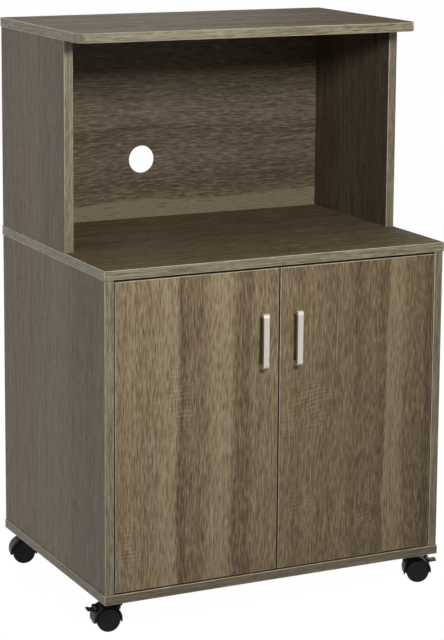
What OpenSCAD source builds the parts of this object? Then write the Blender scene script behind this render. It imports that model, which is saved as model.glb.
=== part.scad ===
// Microwave cart: a two-door cabinet on four swivel casters, with an open hutch on its counter.
// Sizes are in millimetres. +X is the cart's right as seen from the front, -Y is the front and
// +Z is up. The origin is on the floor, under the middle of the whole cart.

/* [Carcass] */
// Width of the counter, the hutch top and the bottom panel
body_w = 640; // [600:1:700]
// Depth of the counter and the bottom panel
counter_d = 465; // [440:1:520]
// Thickness of every laminated board
board_t = 16; // [15:1:18]
// Height from the floor to the underside of the bottom panel
caster_h = 55; // [54:1:62]
// Height from that underside to the top of the counter
cabinet_h = 562; // [540:1:640]
// Width by which the counter stands past the outer face of a side
side_inset = 1.5; // [0:0.5:3]
// Depth by which the sides and doors are set back from the front of the counter
front_inset = 2; // [0:0.5:4]
// Thickness of the two hardboard back panels
back_t = 3; // [3:0.5:5]

/* [Hutch] */
// Height of the hutch above the counter, its top board included
hutch_h = 373; // [330:1:420]
// Depth of the hutch sides
hutch_side_d = 294; // [280:1:330]
// Length by which the hutch top stands past the front of its sides
hutch_overhang = 68; // [40:1:80]
// Radius of the hutch top's two front corners, seen from above
hutch_corner_r = 20; // [10:1:40]
// Distance from the rear edge to the front face of the hutch back
hutch_back_inset = 25; // [15:1:30]
// Diameter of the cord hole in the hutch back
cord_hole_d = 50; // [40:1:60]
// Place of the cord hole to the right of the middle
cord_hole_x = -58; // [-150:1:150]
// Height of the cord hole's centre above the counter
cord_hole_up = 108; // [60:1:200]

/* [Doors] */
// Gap between a door and the cabinet side
door_side_gap = 2; // [1.8:0.1:2.5]
// Gap between the two doors
door_mid_gap = 3; // [2:0.5:4]
// Gap above the doors
door_top_gap = 4; // [2:0.5:6]
// Gap below the doors
door_bottom_gap = 2; // [1:0.5:4]
// Distance from a door's end to the middle of its hinge
hinge_end = 90; // [70:1:120]
// Overall height of a door pull
pull_h = 97; // [80:1:130]
// Width of a door pull
pull_w = 11; // [9:0.5:16]
// Distance that a door pull stands out from the door
pull_reach = 17; // [15:1:30]
// Distance from the middle of the cart to the middle of a pull
pull_x = 32; // [24:1:60]
// Distance from the top of the door to the top of the pull
pull_drop = 72; // [40:1:160]

/* [Casters] */
// Diameter of a caster wheel
wheel_d = 40; // [38:1:40]
// Width of one of the two wheels of a caster
wheel_w = 14; // [11:0.5:14]
// Distance from the swivel axis to the wheel axle
trail = 14; // [13:0.5:15]
// Distance from the side of the bottom panel to a swivel axis
caster_x_inset = 34; // [30:1:60]
// Distance from the front or rear of the bottom panel to a swivel axis
caster_y_inset = 40; // [30:1:60]
// Width of a brake tab
brake_tab_w = 16; // [12:1:16]

/* [Hidden] */
$fn = 48;

// Levels and planes of the carcass.
pull_past_front = pull_reach - front_inset;
front_y = pull_past_front - (counter_d + pull_past_front) / 2;
rear_y = front_y + counter_d;
door_y = front_y + front_inset;
floor_z = caster_h + board_t;
counter_z = caster_h + cabinet_h;
ceiling_z = counter_z - board_t;
hutch_z = counter_z + hutch_h;
hutch_ceiling_z = hutch_z - board_t;
side_x = body_w / 2 - side_inset - board_t;
side_mid_x = side_x + board_t / 2;
hutch_front_y = rear_y - hutch_side_d;

// Back panels stand in grooves of the sides.
groove_d = 6;
groove_play = 0.2;
cabinet_back_inset = 15;
hutch_back_y = rear_y - hutch_back_inset;
cabinet_back_y = rear_y - cabinet_back_inset;

// Knock-down fixings: a cam in the side draws a bolt in the board above or below it. The hutch
// sides are screwed to the counter from below instead, before it goes on the cabinet sides.
bore_play = 0.1;
cam_r = 7.4;
cam_depth = 12;
cam_from_end = 24;
cam_bolt_r = 2.5;
cam_bolt_head_r = 3.4;
cam_channel_r = 4;
dowel_r = 4;
dowel_in_face = 10;
dowel_in_end = 20;
cabinet_cam_inset = 60;
cabinet_dowel_inset = 110;
hutch_cam_inset = 50;
hutch_dowel_inset = 85;
cap_r = 8.5;
cap_t = 0.8;
cap_spigot_r = 0.6;
hutch_screw_r = 2.4;
hutch_screw_l = 45;
function inset_pair(from, to, inset) = [from + inset, to - inset];
CABINET_CAM_Y = inset_pair(door_y, rear_y, cabinet_cam_inset);
CABINET_DOWEL_Y = inset_pair(door_y, rear_y, cabinet_dowel_inset);
HUTCH_CAM_Y = inset_pair(hutch_front_y, rear_y, hutch_cam_inset);
HUTCH_DOWEL_Y = inset_pair(hutch_front_y, rear_y, hutch_dowel_inset);
// Each row is a meeting plane: its height, 1 where the side stands above it, the cams, the dowels.
BOTTOM_ROW = [floor_z, 1, CABINET_CAM_Y, CABINET_DOWEL_Y];
CEILING_ROW = [ceiling_z, -1, CABINET_CAM_Y, CABINET_DOWEL_Y];
COUNTER_ROW = [counter_z, 1, [], HUTCH_DOWEL_Y];
HUTCH_ROW = [hutch_ceiling_z, -1, HUTCH_CAM_Y, HUTCH_DOWEL_Y];
ALL_ROWS = [BOTTOM_ROW, CEILING_ROW, COUNTER_ROW, HUTCH_ROW];
CAMS = 2;
DOWELS = 3;

// Adjustable shelf on four spoon pins.
shelf_gap = 1;
shelf_setback = 40;
shelf_pin_r = 2.5;
shelf_pin_depth = 10;
shelf_pin_step = 64;
shelf_pin_inset = 37;
shelf_hole_z = (floor_z + ceiling_z) / 2;
SHELF_HOLE_Z = [for (k = [-1:1]) shelf_hole_z + k * shelf_pin_step];
SHELF_HOLE_Y = inset_pair(door_y + shelf_setback, cabinet_back_y, shelf_pin_inset);
spoon_t = 2;
spoon_w = 12;
spoon_reach = 9;
pin_out = 6;
pin_collar_r = 4;
pin_collar_t = 1.9;
shelf_z = shelf_hole_z + shelf_pin_r + spoon_t;

// Doors.
door_w = side_x - door_side_gap - door_mid_gap / 2;
door_h = ceiling_z - floor_z - door_top_gap - door_bottom_gap;
door_z = floor_z + door_bottom_gap;
HINGE_Z = inset_pair(door_z, door_z + door_h, hinge_end);

// Hinge, in its own frame: x runs inwards from the cabinet side, y back from the door's front.
pivot_x = 14;
pivot_y = 6.6;
pivot_pin_r = 1.25;
pivot_play = 0.05;
eye_r = 2.4;
cup_r = 17.5;
cup_x = 23.5;
pivot_half = sqrt(pow(cup_r - 0.1, 2) - pow(cup_x - pivot_x + pivot_pin_r, 2));
cup_floor_y = 3;
cup_wall = 0.9;
flange_t = 1.2;
flange_r = 19;
ear_offset = 9.5;
ear_half_span = 22.5;
ear_r = 5;
arm_t = 2.4;
arm_w = 10;
channel_w = 14;
channel_h = 5.6;
channel_wall = 1.2;
channel_y = [38, 80];
plate_t = 2.6;
plate_w = 14;
wing_half_span = 16;
wing_w = 13;
wing_past = 6;
wing_corner_r = 5;
wing_y = 56;
post_r = 2;
POST_Y = [48, 70];
ARM_PATH = [
    [pivot_x, pivot_y], [26, 9.6], [32, 13], [33, 20], [27.5, 25.5], [18, 28.5], [8, 32.5], [5.4, 39]
];

// Screws.
wood_screw_r = 1.75;
pull_screw_r = 1.95;
screw_head_r = 3.6;
screw_head_h = 2;
cup_screw_l = 9;
plate_screw_l = 12;
caster_screw_l = 14;
pull_screw_l = board_t + 8;

// Door pull.
pull_leg_t = 8;
pull_bar_t = 5;
pull_outer_r = 10;
pull_edge_r = 1.6;
pull_z = door_z + door_h - pull_drop - pull_h / 2;
pull_hole_span = pull_h - pull_leg_t;

// Casters, in their own frame: the swivel axis is at x = 0 and the wheels trail towards +x.
wheel_r = wheel_d / 2;
web_half = 4.2;
wheel_gap = 0.5;
wheel_in = web_half + wheel_gap;
wheel_out = wheel_in + wheel_w;
well_r = wheel_r + 1.5;
hood_r = well_r + 3;
hood_half = wheel_out + 0.7;
hood_edge_r = 5;
axle_r = 3;
axle_play = 0.05;
axle_end_inset = 2.2;
boss_r = 11;
boss_from = 14;
boss_flare = 3;
boss_flare_h = 5;
mount_t = 2.5;
mount_w = 42;
mount_corner_r = 5;
mount_hole = 16;
race_r = 13;
race_h = 2.4;
race_gap = 0.5;
collar_z = caster_h - mount_t - race_h - race_gap;
kingpin_r = 4;
kingpin_z = wheel_r + 21;
rivet_head_r = 6;
rivet_head_h = 1.8;
swivel_skirt_drop = 7;
tail_skirt_drop = 5;
web_drop = 7;

// Brake lever, seen from the side of its caster with the axle as the origin.
lever_x = 18.6;
lever_z = 17.2;
lever_hub_r = 3;
lever_slot_r = 6.8;
trunnion_r = 1.5;
trunnion_boss_r = 4;
trunnion_out = 12.2;
lever_gap = 0.3;
cam_lobe_r = 1.9;
cam_lobe_out = 4.4;
cam_lobe_angle = 292;
tab_t = 2.6;
TAB_PATH = [[lever_x, lever_z], [22, 15.6], [27, 15.7], [31.4, 17.2], [34, 16.4]];
CASTERS = ["front_left", "front_right", "rear_left", "rear_right"];
CASTER_PLACE = [
    for (y = [front_y + caster_y_inset, rear_y - caster_y_inset])
        for (side = [-1, 1])
            [side * (body_w / 2 - caster_x_inset), y]
];
// The direction in which each caster's wheels trail, turned from +X.
CASTER_TURN = [172, -23, 166, 35];

laminate = "#7d7263";
laminate_dark = "#655c50";
hardboard = "#6f6557";
nickel = "#c4beb6";
steel = "#a9abad";
nylon = "#1f1f22";
beech = "#c9a878";

CARCASS_NODES = [
    "hutch_top", "hutch_side_left", "hutch_side_right", "hutch_back", "counter",
    "cabinet_side_left", "cabinet_side_right", "bottom_panel", "cabinet_back", "shelf"
];
FIXING_NODES = ["shelf_pins", "dowels", "cam_locks", "cam_bolts", "cam_caps", "hutch_screws"];
HINGE_NODES = [
    "hinge_arm_left_upper", "hinge_arm_left_lower", "hinge_arm_right_upper", "hinge_arm_right_lower",
    "hinge_plates", "hinge_plate_screws"
];
DOOR_NODES = [
    for (s = ["left", "right"])
        for (p = ["door_", "pull_", "pull_screws_", "hinge_pins_", "hinge_cup_screws_"])
            str(p, s)
];
CUP_NODES = [for (s = ["left", "right"]) for (p = ["upper", "lower"]) str("hinge_cup_", s, "_", p)];
CASTER_NODES = [
    for (p = ["caster_plate_", "caster_hood_", "caster_axle_", "caster_wheel_a_", "caster_wheel_b_"])
        for (c = CASTERS)
            str(p, c)
];
OTHER_CASTER_NODES = ["caster_kingpins", "caster_screws", "brake_lever_left", "brake_lever_right"];

// ---------------------------------------------------------------- shared shapes

// A box between two corners
module block(low, high) {
    translate(low) cube(high - low);
}

// A cylinder that lies along X, Y or Z, from its base point
module rod(base, r, length, axis = "z") {
    turn = axis == "x" ? [0, 90, 0] : axis == "y" ? [-90, 0, 0] : [0, 0, 0];
    translate(base) rotate(turn) cylinder(r = r, h = length);
}

// A rectangle with round corners, centred
module round_rectangle(w, h, r) {
    square([w - 2 * r, h], center = true);
    square([w, h - 2 * r], center = true);
    for (sx = [-1, 1], sy = [-1, 1]) translate([sx * (w / 2 - r), sy * (h / 2 - r)]) circle(r = r);
}

// Its children and their mirror image on the other side of the cart
module on_both_sides() {
    children();
    mirror([1, 0, 0]) children();
}

// A screw that points along +z from its head's underside
module screw(r, length) {
    difference() {
        rod([0, 0, -screw_head_h], screw_head_r, screw_head_h);
        for (a = [0, 90]) rotate(a) translate([-2.2, -0.5, -screw_head_h - 1]) cube([4.4, 1, 2.2]);
    }
    rod([0, 0, -0.01], r, length - 2 * r);
    translate([0, 0, length - 2 * r - 0.02]) cylinder(r1 = r, r2 = 0.3, h = 2 * r);
}

// ---------------------------------------------------------------- carcass fixings

// Places children at every cam or dowel of the rows, on the right side, with +z into the side board
module at_fixings(rows, kind) {
    for (row = rows, y = row[kind])
        translate([side_mid_x, y, row[0]]) rotate([row[1] > 0 ? 0 : 180, 0, 0]) children();
}

// What the fixings take out of the boards that lie flat
module face_bores(rows) {
    on_both_sides() {
        at_fixings(rows, CAMS) rod([0, 0, -dowel_in_face], cam_bolt_r + bore_play, dowel_in_face + 1);
        at_fixings(rows, DOWELS) rod([0, 0, -dowel_in_face - 0.5], dowel_r + bore_play, dowel_in_face + 2);
    }
}

// What the fixings take out of the right-hand side boards
module end_bores(rows) {
    at_fixings(rows, CAMS) {
        rod([-board_t / 2 - 1, 0, cam_from_end], cam_r + bore_play, cam_depth + 1.5, "x");
        rod([0, 0, -1], cam_channel_r, cam_from_end + 1);
    }
    at_fixings(rows, DOWELS) rod([0, 0, -1], dowel_r + bore_play, dowel_in_end + 1.5);
}

module dowels() {
    color(beech) on_both_sides() at_fixings(ALL_ROWS, DOWELS)
        rod([0, 0, -dowel_in_face], dowel_r, dowel_in_face + dowel_in_end);
}

// A round cam with its screwdriver cross and the pocket that takes the bolt's head
module cam_locks() {
    color(steel) on_both_sides() at_fixings(ALL_ROWS, CAMS) difference() {
        rod([-board_t / 2, 0, cam_from_end], cam_r, cam_depth, "x");
        rod([0, 0, 0], cam_bolt_head_r + 0.4, cam_from_end + 1);
        for (a = [45, 135]) translate([-board_t / 2, 0, cam_from_end]) rotate([a, 0, 0])
            cube([3, 1.4, 9], center = true);
    }
}

module cam_bolts() {
    color(steel) on_both_sides() at_fixings(ALL_ROWS, CAMS) {
        rod([0, 0, -dowel_in_face + 0.5], cam_bolt_r, cam_from_end + dowel_in_face - 3);
        rod([0, 0, 0.1], cam_bolt_head_r, 2);
        rod([0, 0, cam_from_end - 3.5], cam_bolt_head_r, 3);
    }
}

// Thin plastic caps over the cams that would show inside the open hutch
module cam_caps() {
    color(laminate_dark) on_both_sides() at_fixings([HUTCH_ROW], CAMS) {
        rod([-board_t / 2 - cap_t, 0, cam_from_end], cap_r, cap_t, "x");
        rod([-board_t / 2 - 0.1, 0, cam_from_end], cap_spigot_r, 1.3, "x");
    }
}

// Places children at the right-hand hutch screws, at the underside of each head
module at_hutch_screws() {
    for (y = HUTCH_CAM_Y) translate([side_mid_x, y, ceiling_z + screw_head_h + 0.1]) children();
}

module hutch_screws() {
    color(steel) on_both_sides() at_hutch_screws() screw(hutch_screw_r, hutch_screw_l);
}

// ---------------------------------------------------------------- boards

module hutch_top() {
    r = hutch_corner_r;
    y = hutch_front_y - hutch_overhang;
    color(laminate) difference() {
        translate([0, 0, hutch_ceiling_z]) linear_extrude(board_t) {
            translate([-body_w / 2, y + r]) square([body_w, rear_y - y - r]);
            translate([-body_w / 2 + r, y]) square([body_w - 2 * r, r + 1]);
            for (side = [-1, 1]) translate([side * (body_w / 2 - r), y + r]) circle(r = r, $fn = 96);
        }
        face_bores([HUTCH_ROW]);
    }
}

module hutch_side_right() {
    back = [hutch_back_y - groove_play / 2, hutch_back_y + back_t + groove_play / 2];
    color(laminate_dark) difference() {
        block([side_x, hutch_front_y, counter_z], [side_x + board_t, rear_y, hutch_ceiling_z]);
        block([side_x - 1, back[0], counter_z - 1], [side_x + groove_d, back[1], hutch_ceiling_z + 1]);
        end_bores([COUNTER_ROW, HUTCH_ROW]);
        at_hutch_screws() rod([0, 0, 0], hutch_screw_r + bore_play, hutch_screw_l + 1);
    }
}

module hutch_back() {
    half = side_x + groove_d - 0.5;
    color(hardboard) difference() {
        block([-half, hutch_back_y, counter_z], [half, hutch_back_y + back_t, hutch_ceiling_z]);
        rod([cord_hole_x, hutch_back_y - 1, counter_z + cord_hole_up], cord_hole_d / 2, back_t + 2, "y");
    }
}

module counter() {
    color(laminate) difference() {
        block([-body_w / 2, front_y, ceiling_z], [body_w / 2, rear_y, counter_z]);
        face_bores([CEILING_ROW, COUNTER_ROW]);
        on_both_sides() at_hutch_screws() {
            rod([0, 0, -screw_head_h - 1], screw_head_r + bore_play, screw_head_h + 1);
            rod([0, 0, -1], hutch_screw_r + bore_play, hutch_screw_l);
        }
    }
}

module cabinet_side_right() {
    back = [cabinet_back_y - groove_play / 2, cabinet_back_y + back_t + groove_play / 2];
    color(laminate_dark) difference() {
        block([side_x, door_y, floor_z], [side_x + board_t, rear_y, ceiling_z]);
        block([side_x - 1, back[0], floor_z - 1], [side_x + groove_d, back[1], ceiling_z + 1]);
        end_bores([BOTTOM_ROW, CEILING_ROW]);
        for (y = SHELF_HOLE_Y, z = SHELF_HOLE_Z)
            rod([side_x - 1, y, z], shelf_pin_r, shelf_pin_depth + 1, "x");
        for (z = HINGE_Z, k = [-1, 1])
            rod([side_x - 1, door_y + wing_y, z + k * wing_half_span], wood_screw_r + bore_play,
                plate_screw_l, "x");
    }
}

module bottom_panel() {
    color(laminate) difference() {
        block([-body_w / 2, front_y, caster_h], [body_w / 2, rear_y, floor_z]);
        face_bores([BOTTOM_ROW]);
        at_plates() at_plate_holes() rod([0, 0, -1], wood_screw_r + bore_play, caster_screw_l - 0.5);
    }
}

module cabinet_back() {
    half = side_x + groove_d - 0.5;
    color(hardboard) block([-half, cabinet_back_y, floor_z], [half, cabinet_back_y + back_t, ceiling_z]);
}

module shelf() {
    half = side_x - shelf_gap;
    color(laminate) block([-half, door_y + shelf_setback, shelf_z],
        [half, cabinet_back_y - shelf_gap, shelf_z + board_t]);
}

// Spoon pins: a peg in the side, and a flat pad that the shelf lies on
module shelf_pins() {
    color(nickel) on_both_sides() for (y = SHELF_HOLE_Y) translate([side_x, y, shelf_hole_z]) {
        rod([-pin_out, 0, 0], shelf_pin_r - 0.05, shelf_pin_depth + pin_out - 0.5, "x");
        rod([-pin_collar_t - 0.1, 0, 0], pin_collar_r, pin_collar_t, "x");
        block([-spoon_reach, -spoon_w / 2, shelf_pin_r - 0.3], [-0.1, spoon_w / 2, shelf_pin_r + spoon_t]);
    }
}

// ---------------------------------------------------------------- doors and pulls

// The left door. Its back has the two hinge cup bores and the pull's two screw holes.
module door_left() {
    left = -side_x + door_side_gap;
    color(laminate) difference() {
        block([left, door_y, door_z], [left + door_w, door_y + board_t, door_z + door_h]);
        at_left_hinges(HINGE_Z) {
            rod([cup_x, cup_floor_y, 0], cup_r, board_t, "y");
            at_ears() rod([0, -cup_screw_l, 0], wood_screw_r + bore_play, cup_screw_l + 1, "y");
        }
        at_pull_holes() rod([0, -1, 0], pull_screw_r + 0.25, board_t + 2, "y");
    }
}

module at_pull_holes() {
    for (k = [-1, 1]) translate([-pull_x, door_y, pull_z + k * pull_hole_span / 2]) children();
}

// A cast D-shaped pull: one outline from the side, and another from above that rounds its long edges
module pull_left() {
    color(nickel) difference() {
        intersection() {
            translate([-pull_x - pull_w / 2, door_y, pull_z]) rotate([90, 0, 90]) linear_extrude(pull_w)
                pull_outline();
            translate([-pull_x, door_y, pull_z - pull_h / 2]) linear_extrude(pull_h) pull_section();
        }
        at_pull_holes() rod([0, -10, 0], pull_screw_r + 0.05, 11, "y");
    }
}

// The pull from the side: u is depth, which is negative in front of the door, and v is height
module pull_outline() {
    inner_r = pull_outer_r - pull_bar_t + 1;
    inner_w = pull_reach - pull_bar_t;
    difference() {
        round_rectangle(2 * pull_reach, pull_h, pull_outer_r);
        round_rectangle(2 * inner_w, pull_h - 2 * pull_leg_t, inner_r);
        translate([0, -pull_h]) square([2 * pull_reach, 2 * pull_h]);
    }
}

module pull_section() {
    round_rectangle(pull_w, 2 * pull_reach, pull_edge_r);
}

module pull_screws_left() {
    color(steel) at_pull_holes() translate([0, board_t, 0]) rotate([90, 0, 0])
        screw(pull_screw_r, pull_screw_l);
}

// ---------------------------------------------------------------- hinges

// Places children in the frame of each left-hand hinge
module at_left_hinges(heights) {
    for (z = heights) translate([-side_x, door_y, z]) children();
}

module at_ears() {
    for (k = [-1, 1]) translate([cup_x + ear_offset, board_t, k * ear_half_span]) children();
}

// A pressed cup with a flange on the door's back and two screw ears
module hinge_cup(z) {
    color(nickel) at_left_hinges([z]) difference() {
        union() {
            rod([cup_x, cup_floor_y + 0.02, 0], cup_r - 0.05, board_t - cup_floor_y, "y");
            translate([0, board_t + flange_t, 0]) rotate([90, 0, 0]) linear_extrude(flange_t) cup_flange();
        }
        rod([cup_x, cup_floor_y + cup_wall, 0], cup_r - cup_wall, board_t, "y");
        rod([pivot_x, pivot_y, -cup_r], pivot_pin_r + 0.02, 2 * cup_r);
        at_ears() rod([0, -1, 0], wood_screw_r + bore_play, flange_t + 2, "y");
    }
}

module cup_flange() {
    translate([cup_x, 0]) circle(r = flange_r);
    translate([cup_x + ear_offset, 0]) square([2 * ear_r, 2 * ear_half_span], center = true);
    for (k = [-1, 1]) translate([cup_x + ear_offset, k * ear_half_span]) circle(r = ear_r);
}

module hinge_pins_left() {
    color(steel) at_left_hinges(HINGE_Z) rod([pivot_x, pivot_y, -pivot_half], pivot_pin_r,
        2 * pivot_half);
}

module hinge_cup_screws_left() {
    color(steel) at_left_hinges(HINGE_Z) at_ears() translate([0, flange_t, 0]) rotate([90, 0, 0])
        screw(wood_screw_r, cup_screw_l);
}

// A path with its corners cut, which makes it rounder each time
function cut_corners(path) = concat(
    [path[0]],
    [for (i = [0:len(path) - 2], t = [0.25, 0.75]) path[i] * (1 - t) + path[i + 1] * t],
    [path[len(path) - 1]]
);

// The points that run beside a path, on its left where the distance is positive
function beside(path, distance) = [
    for (i = [0:len(path) - 1])
        let (ahead = path[min(i + 1, len(path) - 1)] - path[max(i - 1, 0)])
            path[i] + distance * [-ahead[1], ahead[0]] / norm(ahead)
];

function reversed(points) = [for (i = [len(points) - 1:-1:0]) points[i]];

// The outline of a bent strip of even thickness
module strip(path, thickness) {
    polygon(concat(beside(path, thickness / 2), reversed(beside(path, -thickness / 2))));
}

// The arm: an eye on the pin, a goose neck round the door's edge, and a channel over the plate
module hinge_arm(z) {
    color(nickel) at_left_hinges([z]) difference() {
        union() {
            translate([0, 0, -arm_w / 2]) linear_extrude(arm_w) {
                strip(cut_corners(cut_corners(ARM_PATH)), arm_t);
                translate([pivot_x, pivot_y]) circle(r = eye_r);
            }
            block([plate_t + 0.1, channel_y[0], -channel_w / 2],
                [plate_t + channel_h, channel_y[1], channel_w / 2]);
        }
        rod([pivot_x, pivot_y, -arm_w], pivot_pin_r + pivot_play, 2 * arm_w);
        block([plate_t, channel_y[0] + 3, -channel_w / 2 + channel_wall],
            [plate_t + channel_h - channel_wall, channel_y[1] + 1, channel_w / 2 - channel_wall]);
        for (y = POST_Y) rod([0, y, 0], post_r + 0.2, 20, "x");
    }
}

// The cross-shaped plates on the side boards, each with a wing above and below for its two screws
module hinge_plates() {
    color(steel) on_both_sides() at_left_hinges(HINGE_Z) difference() {
        union() {
            block([0, channel_y[0] - 2, -plate_w / 2], [plate_t, channel_y[1] - 4, plate_w / 2]);
            translate([0, wing_y, 0]) rotate([90, 0, 90]) linear_extrude(plate_t)
                round_rectangle(wing_w, 2 * (wing_half_span + wing_past), wing_corner_r);
            for (y = POST_Y) rod([plate_t - 0.1, y, 0], post_r, channel_h + 0.6, "x");
        }
        for (k = [-1, 1]) rod([-1, wing_y, k * wing_half_span], wood_screw_r + bore_play, plate_t + 2, "x");
    }
}

module hinge_plate_screws() {
    color(steel) on_both_sides() at_left_hinges(HINGE_Z) for (k = [-1, 1])
        translate([plate_t, wing_y, k * wing_half_span]) rotate([0, -90, 0])
            screw(wood_screw_r, plate_screw_l);
}

// ---------------------------------------------------------------- casters

// Places children at the numbered casters, or at all four, turned as each one stands
module at_casters(which = [0:3]) {
    for (i = which)
        translate([CASTER_PLACE[i][0], CASTER_PLACE[i][1], caster_h]) rotate(CASTER_TURN[i]) children();
}

// Places children under the panel at the numbered casters, square to the panel as the plates are
module at_plates(which = [0:3]) {
    for (i = which) translate([CASTER_PLACE[i][0], CASTER_PLACE[i][1], caster_h]) children();
}

module at_plate_holes() {
    for (sx = [-1, 1], sy = [-1, 1]) translate([sx * mount_hole, sy * mount_hole, 0]) children();
}

// The steel plate under the panel, with a pressed race round the king pin
module caster_plate(i) {
    color(steel) at_plates([i]) difference() {
        union() {
            translate([0, 0, -mount_t]) linear_extrude(mount_t)
                round_rectangle(mount_w, mount_w, mount_corner_r);
            translate([0, 0, -mount_t - race_h]) cylinder(r1 = race_r - 2, r2 = race_r, h = race_h);
        }
        rod([0, 0, -20], kingpin_r + 0.02, 30);
        rod([0, 0, -rivet_head_h - 0.2], rivet_head_r + 0.1, 5);
        at_plate_holes() rod([0, 0, -20], wood_screw_r + 0.25, 30);
    }
}

module caster_screws() {
    color(steel) at_plates() at_plate_holes() translate([0, 0, -mount_t])
        screw(wood_screw_r, caster_screw_l);
}

// The riveted pins that the hoods swivel on
module caster_kingpins() {
    low = kingpin_z - caster_h;
    color(steel) at_plates() {
        rod([0, 0, low], kingpin_r, -low - rivet_head_h);
        rod([0, 0, -rivet_head_h - 0.1], rivet_head_r, rivet_head_h);
    }
}

// A cylinder along the axle's direction, between two places across the caster
module across(x, z, r, from, to) {
    rod([x, from, z], r, to - from, "y");
}

// The outer form of the hood: a drum with rounded rims, turned on the axle
module hood_drum() {
    rotate([90, 0, 0]) rotate_extrude() intersection() {
        round_rectangle(2 * hood_r, 2 * hood_half, hood_edge_r);
        translate([0, -hood_half]) square([hood_r + 1, 2 * hood_half]);
    }
}

// What is cut away below the two pointed skirts, drawn from the side
module below_skirts() {
    swivel_tip = sqrt(pow(hood_r, 2) - pow(swivel_skirt_drop, 2));
    tail_tip = sqrt(pow(hood_r, 2) - pow(tail_skirt_drop, 2));
    inner = well_r - 0.3;
    far = 2 * hood_r;
    polygon([
        [-far, -swivel_skirt_drop], [-swivel_tip, -swivel_skirt_drop], [-inner, 0],
        [inner, 0], [tail_tip, -tail_skirt_drop], [far, -tail_skirt_drop],
        [far, -far], [-far, -far]
    ]);
}

// One hood, drawn about the middle of its axle
module hood_body(braked) {
    collar = collar_z - wheel_r;
    difference() {
        union() {
            hood_drum();
            rod([-trail, 0, boss_from], boss_r, collar - boss_from);
            translate([-trail, 0, hood_r - boss_flare_h + 1.5])
                cylinder(r1 = boss_r + boss_flare, r2 = boss_r, h = boss_flare_h);
            if (braked) across(lever_x, lever_z, trunnion_boss_r, -trunnion_out, trunnion_out);
        }
        for (side = [0, 1]) mirror([0, side, 0]) across(0, 0, well_r, web_half, 2 * hood_half);
        intersection() {
            rotate([90, 0, 0]) linear_extrude(4 * hood_half, center = true) below_skirts();
            union() {
                for (side = [0, 1]) mirror([0, side, 0])
                    block([-50, web_half, -50], [50, 2 * hood_half, 50]);
                block([-50, -50, -50], [50, 50, -web_drop]);
            }
        }
        if (braked) {
            slot_half = brake_tab_w / 2 + lever_gap;
            across(lever_x, lever_z, lever_slot_r, -slot_half, slot_half);
            across(lever_x, lever_z, trunnion_r + axle_play, -trunnion_out - 1, trunnion_out + 1);
        }
        across(0, 0, axle_r + 0.02, -20, 20);
        rod([-trail, 0, kingpin_z - wheel_r - 0.5], kingpin_r + axle_play, 30);
    }
}

module caster_hood(i) {
    color(nylon) at_casters([i]) translate([trail, 0, wheel_r - caster_h]) hood_body(i < 2);
}

module caster_axle(i) {
    color(steel) at_casters([i]) translate([trail, 0, wheel_r - caster_h])
        across(0, 0, axle_r, -wheel_out + axle_end_inset, wheel_out - axle_end_inset);
}

// A wheel with its outer face at the top: dished there round a raised cap, with ribs in a hollow below
module wheel_body() {
    rim_t = 3.5;
    web_t = 3;
    hub_cap_r = 6;
    difference() {
        rotate_extrude() intersection() {
            translate([0, wheel_w / 2]) round_rectangle(2 * wheel_r, wheel_w, 1.2);
            square([wheel_r + 1, wheel_w + 1]);
        }
        difference() {
            rod([0, 0, -1], wheel_r - rim_t, wheel_w - web_t + 1);
            rod([0, 0, -2], axle_r + 2.5, wheel_w + 3);
            for (a = [0:60:300]) rotate(a) block([axle_r, -0.8, 0.5], [wheel_r, 0.8, wheel_w]);
        }
        difference() {
            rod([0, 0, wheel_w - 0.8], wheel_r - rim_t + 0.5, 2);
            rod([0, 0, 0], hub_cap_r, 2 * wheel_w);
        }
        rod([0, 0, -1], axle_r + axle_play, wheel_w - 1);
    }
}

// Wheel a is on the caster's +y side and wheel b on its -y side
module caster_wheel(i, side) {
    color(nylon) at_casters([i]) translate([trail, side * wheel_in, wheel_r - caster_h])
        rotate([side > 0 ? -90 : 90, 0, 0]) wheel_body();
}

// The lever from the side: a hub, a lobe over the treads, and a foot tab with its lip turned down
module lever_outline() {
    translate([lever_x, lever_z]) {
        circle(r = lever_hub_r);
        rotate(cam_lobe_angle) translate([cam_lobe_out, 0]) circle(r = cam_lobe_r);
    }
    strip(cut_corners(cut_corners(TAB_PATH)), tab_t);
}

// A brake lever on its two trunnions
module brake_lever(i) {
    trunnion_end = trunnion_out - 0.2;
    color(nylon) at_casters([i]) translate([trail, 0, wheel_r - caster_h]) {
        rotate([90, 0, 0]) linear_extrude(brake_tab_w, center = true) lever_outline();
        across(lever_x, lever_z, trunnion_r, -trunnion_end, trunnion_end);
    }
}

// ---------------------------------------------------------------- what is drawn

module mirrored() {
    mirror([1, 0, 0]) children();
}

hutch_top();
mirrored() hutch_side_right();  // hutch_side_left
hutch_side_right();
hutch_back();
counter();
mirrored() cabinet_side_right();  // cabinet_side_left
cabinet_side_right();
bottom_panel();
cabinet_back();
shelf();
shelf_pins();
dowels();
cam_locks();
cam_bolts();
cam_caps();
hutch_screws();
hinge_arm(HINGE_Z[1]);  // hinge_arm_left_upper
hinge_arm(HINGE_Z[0]);  // hinge_arm_left_lower
mirrored() hinge_arm(HINGE_Z[1]);  // hinge_arm_right_upper
mirrored() hinge_arm(HINGE_Z[0]);  // hinge_arm_right_lower
hinge_plates();
hinge_plate_screws();
door_left();
mirrored() door_left();  // door_right
pull_left();
mirrored() pull_left();  // pull_right
pull_screws_left();
mirrored() pull_screws_left();  // pull_screws_right
hinge_pins_left();
mirrored() hinge_pins_left();  // hinge_pins_right
hinge_cup_screws_left();
mirrored() hinge_cup_screws_left();  // hinge_cup_screws_right
hinge_cup(HINGE_Z[1]);  // hinge_cup_left_upper
hinge_cup(HINGE_Z[0]);  // hinge_cup_left_lower
mirrored() hinge_cup(HINGE_Z[1]);  // hinge_cup_right_upper
mirrored() hinge_cup(HINGE_Z[0]);  // hinge_cup_right_lower
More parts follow.
